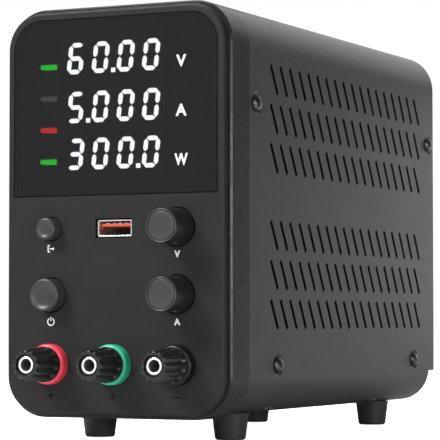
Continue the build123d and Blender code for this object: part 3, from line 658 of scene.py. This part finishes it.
def reach_of(node):
    """The radius and length of a round node that lies along Y."""
    low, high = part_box(node)
    return (high.x - low.x) / 2, high.y - low.y


def twin(piece):
    made = piece.copy()
    made.data = piece.data.copy()
    bpy.context.scene.collection.objects.link(made)
    return made


def finished(name, pieces, material, body, slot, *nodes):
    """Joins pieces into one that is named, given its finish, carried by a body and put for nodes."""
    deselect()
    for piece in pieces:
        piece.select_set(True)
    bpy.context.view_layer.objects.active = pieces[0]
    if len(pieces) > 1:
        bpy.ops.object.join()
    piece = bpy.context.object
    bpy.ops.object.transform_apply(location=True, rotation=True, scale=True)
    piece.name = name
    wear(piece, material)
    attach(piece, body)
    if nodes:
        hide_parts(*nodes)


# Lit digits: one segment is modelled, then copied to every lit place
DIGIT_HEIGHT = 10.6 * MM
DIGIT_WIDTH = 6.0 * MM
DIGIT_PITCH = 9.62 * MM
DIGITS_LEFT = -18.9 * MM
SEGMENT_THICK = 1.5 * MM
SEGMENT_GAP = 0.26 * MM
SEGMENT_PROUD = 0.25 * MM
READOUT_FRAME = 0.3 * MM
SLANT = math.radians(7.0)
DOT_SIZE = 1.5 * MM
POINT_WIDTH = 0.12
SEGMENTS_OF = {"0": "abcdef", "3": "abcdg", "5": "acdfg", "6": "acdefg"}


def segment(length):
    """A lit bar with pointed ends, lying along X at the origin, its face to the front."""
    piece = block((length - SEGMENT_THICK, SEGMENT_PROUD, SEGMENT_THICK))
    edit()
    for side in (-1, 1):
        select_faces(piece, lambda centre, normal: normal.x * side > 0.9)
        extrude(side * SEGMENT_THICK / 2, 0, 0)
        resize(1, 1, POINT_WIDTH)
    leave()
    return piece


def digit_bar(bar, place, turn):
    made = twin(bar)
    made.location = place
    made.rotation_euler = (0, turn, 0)
    return made


def lit_digits(name, text, node, lift):
    """A row of seven-segment digits, with a square dot where the text has a point."""
    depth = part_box(node)[0].y + READOUT_FRAME - SEGMENT_PROUD / 2
    low = middle(node).z + lift - DIGIT_HEIGHT / 2
    half_width = (DIGIT_WIDTH - SEGMENT_THICK) / 2
    half_height = (DIGIT_HEIGHT - SEGMENT_THICK) / 2
    across = segment(DIGIT_WIDTH - SEGMENT_THICK - 2 * SEGMENT_GAP)
    upright = segment(half_height - 2 * SEGMENT_GAP)
    quarter = math.pi / 2
    places = {
        "a": (across, 0, half_height, 0.0),
        "g": (across, 0, 0, 0.0),
        "d": (across, 0, -half_height, 0.0),
        "b": (upright, half_width, half_height / 2, quarter),
        "c": (upright, half_width, -half_height / 2, quarter),
        "e": (upright, -half_width, -half_height / 2, quarter),
        "f": (upright, -half_width, half_height / 2, quarter),
    }
    made = []
    index = -1
    for character in text:
        if character == ".":
            dot_x = DIGITS_LEFT + (index + 1) * DIGIT_PITCH - (DIGIT_PITCH - DIGIT_WIDTH) / 2
            made.append(block((DOT_SIZE, SEGMENT_PROUD, DOT_SIZE), (dot_x, depth, low + DOT_SIZE / 2)))
            continue
        index += 1
        centre = DIGITS_LEFT + index * DIGIT_PITCH + DIGIT_WIDTH / 2
        for key in SEGMENTS_OF[character]:
            bar, x, z, turn = places[key]
            place = (centre + x + z * math.tan(SLANT), depth, low + DIGIT_HEIGHT / 2 + z)
            made.append(digit_bar(bar, place, turn + (SLANT if turn else 0.0)))
    bpy.data.objects.remove(across)
    bpy.data.objects.remove(upright)
    finished(name, made, LIT_WHITE, "case", slot_of(node))


# Printed marks: letters and signs of thin ink on the plate and the window
INK = 0.03 * MM
TEXT_DEPTH = 0.02
BAR_CORNER = 0.35


def letter(text, height, bold, squeeze=1.0):
    """A letter of flat ink at the origin in X and Y, as tall, as bold and as narrow as asked."""
    deselect()
    bpy.ops.object.text_add(location=(0, 0, 0))
    piece = bpy.context.object
    piece.data.body = text
    piece.data.offset = bold
    piece.data.extrude = TEXT_DEPTH
    bpy.ops.object.convert(target="MESH")
    corners = [Vector(corner) for corner in piece.bound_box]
    low = Vector([min(corner[i] for corner in corners) for i in range(3)])
    high = Vector([max(corner[i] for corner in corners) for i in range(3)])
    piece.location = -(low + high) / 2
    bpy.ops.object.transform_apply(location=True)
    ratio = height / (high.y - low.y)
    piece.scale = (ratio * squeeze, ratio, INK / (high.z - low.z))
    bpy.ops.object.transform_apply(scale=True)
    return piece


def ring_mark(radius, width):
    inside = radius - width
    return turned_ring(((inside, 0), (radius, 0), (radius, INK), (inside, INK)), sides=64)


def bar_mark(width, height, place=(0, 0)):
    """A bar of ink with rounded corners."""
    piece = block((width, height, INK), (*place, INK / 2))
    edit()
    select_edges(piece, lambda a, b: abs(a.z - b.z) > INK / 2)
    bpy.ops.mesh.bevel(offset=min(width, height) * BAR_CORNER, segments=3)
    leave()
    return piece


# Signs, drawn in shares of their size
SIGN_STROKE = 0.14
POLE_STROKE = 0.16
GROUND_STROKE = 0.13
OPENING = 0.42
WING_TURN = math.radians(40)
GROUND_BARS = ((0.9, 0.0), (0.6, 0.22), (0.3, 0.44))


def power_mark(size):
    """A ring that is open at the top, with a bar in the opening."""
    radius = size / 2
    stroke = size * SIGN_STROKE
    ring = ring_mark(radius, stroke)
    edit()
    select_faces(ring, lambda centre, normal: centre.y > 0 and abs(centre.x) < radius * OPENING)
    bpy.ops.mesh.delete(type="FACE")
    select_open_edges()
    bpy.ops.mesh.fill_holes(sides=4)
    leave()
    return [ring, bar_mark(stroke, radius, (0, radius * 0.62))]


def output_mark(size):
    """An arrow that leaves a small box, for the output."""
    stroke = size * SIGN_STROKE
    made = [bar_mark(size * 0.62, stroke, (size * 0.12, 0))]
    for side in (-1, 1):
        wing = bar_mark(size * 0.34, stroke)
        wing.rotation_euler = (0, 0, -side * WING_TURN)
        wing.location = (size * 0.32, side * size * 0.10, 0)
        made.append(wing)
    made.append(bar_mark(stroke, size * 0.9, (-size * 0.42, 0)))
    for side in (1, -1):
        made.append(bar_mark(size * 0.3, stroke, (-size * 0.30, side * size * 0.38)))
    return made


def plus_mark(size):
    return [bar_mark(size, size * POLE_STROKE), bar_mark(size * POLE_STROKE, size)]


def minus_mark(size):
    return [bar_mark(size, size * POLE_STROKE)]


def ground_mark(size):
    """A stem over three bars that get shorter."""
    stroke = size * GROUND_STROKE
    made = [bar_mark(stroke, size * 0.5, (0, size * 0.25))]
    for share, drop in GROUND_BARS:
        made.append(bar_mark(size * share, stroke, (0, -size * drop)))
    return made


def print_on_plate(name, pieces, x, z, material):
    """Lays marks on the front plate, their X to the right and their Y up."""
    for piece in pieces:
        piece.rotation_euler = (math.pi / 2, 0, piece.rotation_euler.z)
        place = piece.location.copy()
        piece.location = (x + place.x, FRONT - SKIN, z + place.y)
    finished(name, pieces, material, "case", "front_plastic")


# Painted shadow: a dark line round the window, standing in for the shade in the gap between the window and
# the plate
SHADOW_LINE_WIDTH = 0.32 * MM


def window_shadow_line():
    """Painted shadow: the window's outline as a thin dark raised strip, made from a copy of the window's
    mesh.
    """
    piece = twin(node_objects["display_window"])
    choose(piece)
    edit()
    merge_doubles()
    bpy.ops.mesh.dissolve_limited(angle_limit=math.radians(1))
    front = min(point.co.y for point in piece.data.vertices)
    select_faces(piece, lambda centre, normal: normal.y < -0.9 and centre.y < front + SKIN)
    bpy.ops.mesh.select_all(action="INVERT")
    bpy.ops.mesh.delete(type="FACE")
    bpy.ops.mesh.select_all(action="SELECT")
    bpy.ops.mesh.inset(thickness=SHADOW_LINE_WIDTH, depth=0)
    bpy.ops.mesh.delete(type="FACE")
    bpy.ops.mesh.select_all(action="SELECT")
    extrude(0, -SKIN, 0)
    tidy_mesh()
    leave()
    finished("window_painted_shadow", [piece], DARK_INK_AND_PAINTED_SHADOW, "case", slot_of("display_window"))


# Knobs: a straight skirt, a tapered nose and a disc in a groove on the face
SHAFT_BORE = 3.05 * MM
BORE_SHARE = 0.78
NOSE_SHARE = 0.91
DISC_SHARE = 0.77
KNOB_GROOVE = 0.32 * MM


def knob(name, node, body):
    """A knob that is hollow behind for its shaft."""
    radius, length = reach_of(node)
    nose = radius * NOSE_SHARE
    disc = radius * DISC_SHARE
    piece = turned(
        (
            (SHAFT_BORE, length * BORE_SHARE),
            (SHAFT_BORE, 0),
            (radius - 0.25 * MM, 0),
            (radius, 0.25 * MM),
            (radius, 1.2 * MM),
            (radius * 0.96, 2.4 * MM),
            (nose, length - 0.40 * MM),
            (nose - 0.12 * MM, length - 0.12 * MM),
            (nose - 0.35 * MM, length),
            (disc + KNOB_GROOVE, length - 0.12 * MM),
            (disc + KNOB_GROOVE * 0.8, length - 0.55 * MM),
            (disc + KNOB_GROOVE * 0.2, length - 0.55 * MM),
            (disc, length - 0.25 * MM),
            (disc - 0.3 * MM, length - 0.15 * MM),
            (disc * 0.5, length - 0.10 * MM),
        ),
        sides=128,
    )
    stand_in(smooth(piece, 50), node)
    finished(name, [piece], DIAL, body, slot_of(node), node)


# Push buttons: a round cap with a soft rim and a dished face, on a flange and a stem behind the plate
FLANGE_LEDGE = 0.8 * MM
FLANGE_THICK = 1.0 * MM


def push_button(node, flange_at, stem):
    """A button whose flange stands as far behind the plate's face as asked."""
    flange, length = reach_of(node)
    radius = flange - FLANGE_LEDGE
    flange_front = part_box(node)[1].y - (FRONT + flange_at)
    flange_back = flange_front - FLANGE_THICK
    piece = turned(
        (
            (stem / 2, 0),
            (stem / 2, flange_back),
            (flange, flange_back),
            (flange, flange_front),
            (radius, flange_front),
            (radius, length - 1.0 * MM),
            (radius - 0.12 * MM, length - 0.5 * MM),
            (radius - 0.4 * MM, length - 0.14 * MM),
            (radius - 0.8 * MM, length),
            (radius - 1.1 * MM, length - 0.05 * MM),
            (radius - 1.35 * MM, length - 0.28 * MM),
            (radius * 0.45, length - 0.42 * MM),
        ),
        sides=112,
    )
    stand_in(smooth(piece, 50), node)
    finished(node + "_cap", [piece], BUTTON, node, slot_of(node), node)


# Binding posts: fluted caps, glossy collars and plated tubes
FLUTES = 12
FACETS = 16
FLUTE_SHARE = 0.14
FLUTE_SHARPNESS = 1.2
FLUTES_START = 2.3 * MM
CAP_EDGE = 0.3 * MM
CAP_HOLLOW = 3.8 * MM
CAP_HOLLOW_DEPTH = 1.6 * MM
CAP_BORE = 2.9 * MM
RING_ROOM = 4.8 * MM
RING_ROOM_DEPTH = 1.1 * MM
CAP_NOSE = 9.9 / 2 * MM


def flute_factor(step):
    """The share of its radius that a point of the cap's rim keeps, by its place in one flute."""
    wave = 0.5 - 0.5 * math.cos(2 * math.pi * step / FACETS)
    return 1 - FLUTE_SHARE * wave**FLUTE_SHARPNESS


def flute_step(point):
    turn = math.atan2(point.y, point.x) / (2 * math.pi) * FLUTES * FACETS
    return round(turn) % FACETS


def flute_ring(piece, height, inward):
    """Moves the points at a height in to the flutes, or back out to the round."""
    for step in range(1, FACETS):
        factor = flute_factor(step) if inward else 1 / flute_factor(step)
        select_points(piece, lambda p: abs(p.z - height) < HAIR and flute_step(p) == step)
        resize(factor, factor, 1)


def face_at(piece, height):
    select_faces(piece, lambda centre, normal: abs(centre.z - height) < HAIR and abs(normal.z) > 0.9)


def post_cap(name, node):
    """A tapered cap with twelve flutes, hollow round the tube in front and round the ring behind."""
    foot, length = reach_of(node)
    back_edge = (foot - CAP_EDGE, 0)
    start = (foot * 0.985, FLUTES_START)
    nose_edge = (CAP_NOSE - 0.5 * MM, length)
    deselect()
    bpy.ops.mesh.primitive_circle_add(vertices=FLUTES * FACETS, radius=back_edge[0], fill_type="NGON")
    piece = bpy.context.object
    edit()
    climb(back_edge, (foot, CAP_EDGE), (foot, 1.2 * MM), (foot * 0.995, 1.5 * MM), start)
    flute_ring(piece, FLUTES_START, True)
    face_at(piece, FLUTES_START)
    climb(
        start,
        (CAP_NOSE + 0.12 * MM, length - 0.7 * MM),
        (CAP_NOSE - 0.15 * MM, length - 0.2 * MM),
        nose_edge,
        (CAP_HOLLOW, length - HAIR),
    )
    flute_ring(piece, length - HAIR, False)
    select_faces(piece, lambda centre, normal: centre.z > length - 2 * HAIR and centre.xy.length < 0.5 * MM)
    climb(
        (CAP_HOLLOW, 0),
        (CAP_HOLLOW - 0.12 * MM, -0.12 * MM),
        (CAP_HOLLOW - 0.15 * MM, -CAP_HOLLOW_DEPTH),
        (CAP_BORE, -CAP_HOLLOW_DEPTH),
        (CAP_BORE, -(length - RING_ROOM_DEPTH)),
    )
    bpy.ops.mesh.delete(type="FACE")
    face_at(piece, 0)
    climb(back_edge, (RING_ROOM, 0), (RING_ROOM, RING_ROOM_DEPTH), (CAP_BORE, RING_ROOM_DEPTH))
    bpy.ops.mesh.delete(type="FACE")
    tidy_mesh()
    leave()
    stand_in(smooth(piece, 35), node)
    finished(name, [piece], CAP, node, slot_of(node), node)


COLLAR_BOSS = 9.5 / 2 * MM
COLLAR_HOLE = CAP_BORE + 0.05 * MM
COLLAR_SHOULDER = 1.2 * MM
COLLAR_EDGE = 0.1 * MM


def post_collar(name, node, material):
    """A collar with a wide rounded shoulder, and its boss through the plate."""
    radius, length = reach_of(node)
    plate_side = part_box(node)[1].y - FRONT
    points = [
        (COLLAR_HOLE, 0),
        (COLLAR_BOSS, 0),
        (COLLAR_BOSS, plate_side),
        (radius - COLLAR_EDGE, plate_side),
        (radius, plate_side + COLLAR_EDGE),
    ]
    for degrees in range(0, 91, 15):
        angle = math.radians(degrees)
        drop_in = COLLAR_SHOULDER * (1 - math.cos(angle))
        drop_back = COLLAR_SHOULDER * (1 - math.sin(angle))
        points.append((radius - drop_in, length - drop_back))
    points.append((COLLAR_HOLE, length))
    piece = turned_ring(points, sides=128)
    stand_in(smooth(piece), node)
    finished(name, [piece], material, "case", slot_of(node), node)


TUBE_BORE = 4.1 / 2 * MM
BORE_DEPTH = 19 * MM


def post_tube(name, node):
    """A plated stud with a bright rounded lip and a 4 mm bore."""
    radius, length = reach_of(node)
    piece = turned(
        (
            (radius - 0.3 * MM, 0),
            (radius, 0.3 * MM),
            (radius, length - 0.35 * MM),
            (radius - 0.1 * MM, length - 0.1 * MM),
            (radius - 0.3 * MM, length),
            (TUBE_BORE + 0.25 * MM, length),
            (TUBE_BORE + 0.05 * MM, length - 0.08 * MM),
            (TUBE_BORE, length - 0.25 * MM),
            (TUBE_BORE, length - BORE_DEPTH),
        ),
    )
    stand_in(smooth(piece), node)
    finished(name, [piece], POST_PLATE, "case", slot_of(node), node)


# Screws: a pan head with a cross recess, copied to each place
HEAD_RADIUS = 2.7 * MM
HEAD_HEIGHT = 1.7 * MM
SHANK_RADIUS = 1.5 * MM
SHANK_LENGTH = 5.0 * MM
SCREWS_APART = 9 * MM
FIRST_TURN = 0.35
NEXT_TURN = 1.1


def cross_screw():
    """A pan-head screw along Z, its head's seat at the origin, with a cross cut into the head."""
    head, height, shank, length = HEAD_RADIUS, HEAD_HEIGHT, SHANK_RADIUS, SHANK_LENGTH
    piece = turned(
        (
            (shank * 0.7, -length),
            (shank, -length + 0.4 * MM),
            (shank, 0),
            (head, 0),
            (head, height * 0.25),
            (head * 0.95, height * 0.55),
            (head * 0.80, height * 0.85),
            (head * 0.55, height),
            (head * 0.2, height),
        ),
        sides=48,
    )
    for turn in (0, 1):
        cutter = block((head * 1.15, head * 0.24, height * 1.2), (0, 0, height * 0.95))
        edit()
        select_faces(cutter, lambda centre, normal: normal.z < -0.9)
        resize(0.45, 0.6, 1)
        leave()
        cutter.rotation_euler = (0, 0, turn * math.pi / 2)
        bpy.ops.object.transform_apply(rotation=True)
        applied(piece, "BOOLEAN", operation="DIFFERENCE", object=cutter, solver="EXACT")
        bpy.data.objects.remove(cutter)
    return smooth(piece, 35)


def screw_seats(node):
    """The points of each separate screw in a node, grouped by which screw they lie near."""
    seats = []
    for point in node_objects[node].data.vertices:
        for seat in seats:
            if (seat[0] - point.co).length < SCREWS_APART:
                seat[1].append(point.co)
                break
        else:
            seats.append((point.co.copy(), [point.co]))
    return [points for _, points in seats]


def side_screws():
    """The cover's eight screws, each turned as it happened to tighten."""
    model = cross_screw()
    made = []
    for index, points in enumerate(screw_seats("cover_screws")):
        side = 1 if points[0].x > 0 else -1
        reach = max(point.x * side for point in points)
        centre_y = (min(p.y for p in points) + max(p.y for p in points)) / 2
        centre_z = (min(p.z for p in points) + max(p.z for p in points)) / 2
        place = (side * (reach - HEAD_HEIGHT), centre_y, centre_z)
        made.append(stand(twin(model), place, (side, 0, 0), FIRST_TURN + NEXT_TURN * index))
    bpy.data.objects.remove(model)
    finished("side_screws", made, BLACK_STEEL, "case", slot_of("cover_screws"), "cover_screws")


# USB socket: a drawn shell with a rounded mouth, an orange tongue and four contacts
SHELL_WALL = 0.50 * MM
SHELL_CORNER = 0.6 * MM
TONGUE_THICK = 1.0 * MM
TONGUE_DROP = 1.3 * MM
BLOCK_DEEP = 3.0 * MM
CONTACT_SIZE = (1.0 * MM, 8.0 * MM, 0.3 * MM)
CONTACT_BACK = 0.4 * MM
CONTACT_PLACES = (-3.5, -1.0, 1.0, 3.5)


def usb_shell():
    """A tube of sheet with rounded corners, open at both ends."""
    low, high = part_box("usb_shell")
    size = high - low
    piece = block(size, (low + high) / 2)
    edit()
    select_edges(piece, lambda a, b: abs(a.y - b.y) > size.y / 2)
    bpy.ops.mesh.bevel(offset=SHELL_CORNER, segments=4)
    for end in (-1, 1):
        select_faces(piece, lambda centre, normal: normal.y * end > 0.9)
        bpy.ops.mesh.inset(thickness=SHELL_WALL, depth=0)
        bpy.ops.mesh.delete(type="FACE")
    select_open_edges()
    bpy.ops.mesh.bridge_edge_loops()
    tidy_mesh()
    leave()
    softened(piece, 0.08 * MM)
    finished("usb_mouth_shell", [piece], SHELL, "case", slot_of("usb_shell"), "usb_shell")


def usb_tongue():
    """The moulded tongue under the shell's roof, on the block at the shell's back, and its contacts."""
    low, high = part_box("usb_tongue")
    tongue_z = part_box("usb_shell")[1].z - TONGUE_DROP - TONGUE_THICK / 2
    width = high.x - low.x
    back_place = (0, high.y - BLOCK_DEEP / 2, (low.z + high.z) / 2)
    back = block((width, BLOCK_DEEP, high.z - low.z), back_place)
    length = high.y - 2.0 * MM - low.y
    tongue = block((width - 1.2 * MM, length, TONGUE_THICK), (0, low.y + length / 2, tongue_z))
    edit()
    select_faces(tongue, lambda centre, normal: normal.y < -0.9)
    resize(0.985, 1, 0.75, (0, 0, tongue_z))
    leave()
    softened(tongue, 0.1 * MM)
    finished("usb_orange_tongue", [tongue], ORANGE, "case", slot_of("usb_tongue"), "usb_tongue")
    finished("usb_insulator", [softened(back, 0.2 * MM)], MASK, "case", slot_of("usb_tongue"))
    contacts = []
    contact_y = low.y + CONTACT_BACK + CONTACT_SIZE[1] / 2
    contact_z = tongue_z + TONGUE_THICK / 2 + 0.05 * MM
    for x in CONTACT_PLACES:
        contact = block(CONTACT_SIZE, (x * MM, contact_y, contact_z))
        contacts.append(softened(contact, 0.1 * MM, 3))
    finished("usb_contacts", contacts, CONTACT, "case", "plated_steel")


# The display's rows: the digits, their lift above the readout's middle, the unit and how wide it is
ROWS = (
    ("voltage", "60.00", 0.55 * MM, "V", 1.0),
    ("current", "5.000", 0.25 * MM, "A", 1.0),
    ("power", "300.0", 0.70 * MM, "W", 0.82),
)
UNIT_X = 25.4 * MM
UNIT_HEIGHT = 4.0 * MM
UNIT_BOLD = 0.03
UNIT_DROP = 2.4 * MM

for row, digits, lift, _, _ in ROWS:
    lit_digits(row + "_digits", digits, row + "_readout", lift)
for row, _, _, unit, squeeze in ROWS:
    z = middle(row + "_readout").z - UNIT_DROP
    print_on_plate(row + "_unit", [letter(unit, UNIT_HEIGHT, UNIT_BOLD, squeeze)], UNIT_X, z, WHITE_INK)

# The signs under the controls and the posts
COLUMN = middle("voltage_knob").x
MARK_DROP = 9.0 * MM
OUTPUT_MARK_DROP = 6.6 * MM
POST_MARK_DROP = 10.6 * MM
KNOB_LETTER = 2.3 * MM
KNOB_BOLD = 0.05
OUTPUT_SIGN = 2.8 * MM
POWER_SIGN = 2.9 * MM
POST_SIGN = 2.6 * MM

for row, unit in (("voltage", "V"), ("current", "A")):
    z = middle(row + "_knob").z - MARK_DROP
    print_on_plate(row + "_knob_mark", [letter(unit, KNOB_LETTER, KNOB_BOLD)], COLUMN, z, WHITE_INK)
output_z = middle("output_button").z - OUTPUT_MARK_DROP
print_on_plate("output_mark", output_mark(OUTPUT_SIGN), -COLUMN, output_z, WHITE_INK)
power_z = middle("power_button").z - MARK_DROP
print_on_plate("power_mark", power_mark(POWER_SIGN), -COLUMN, power_z, WHITE_INK)
post_z = middle("ground_stud").z - POST_MARK_DROP
for name, mark in (("positive", plus_mark), ("ground", ground_mark), ("negative", minus_mark)):
    print_on_plate(name + "_mark", mark(POST_SIGN), middle(name + "_stud").x, post_z, DARK_INK_AND_PAINTED_SHADOW)

# The pieces of the front and the sides
OUTPUT_FLANGE_AT = 5.9 * MM
OUTPUT_STEM = 3.0 * MM
POWER_FLANGE_AT = 7.4 * MM
POWER_STEM = 4.0 * MM

window_shadow_line()
for row in ("voltage", "current"):
    knob(row + "_dial", row + "_knob", row + "_dial")
push_button("output_button", OUTPUT_FLANGE_AT, OUTPUT_STEM)
push_button("power_button", POWER_FLANGE_AT, POWER_STEM)
for name, colour in (("positive", RED), ("ground", GREEN), ("negative", BLACK)):
    post_cap(name + "_fluted_cap", name + "_cap")
    post_collar(name + "_shoulder", name + "_collar", colour)
    post_tube(name + "_tube", name + "_stud")
side_screws()
usb_shell()
usb_tongue()
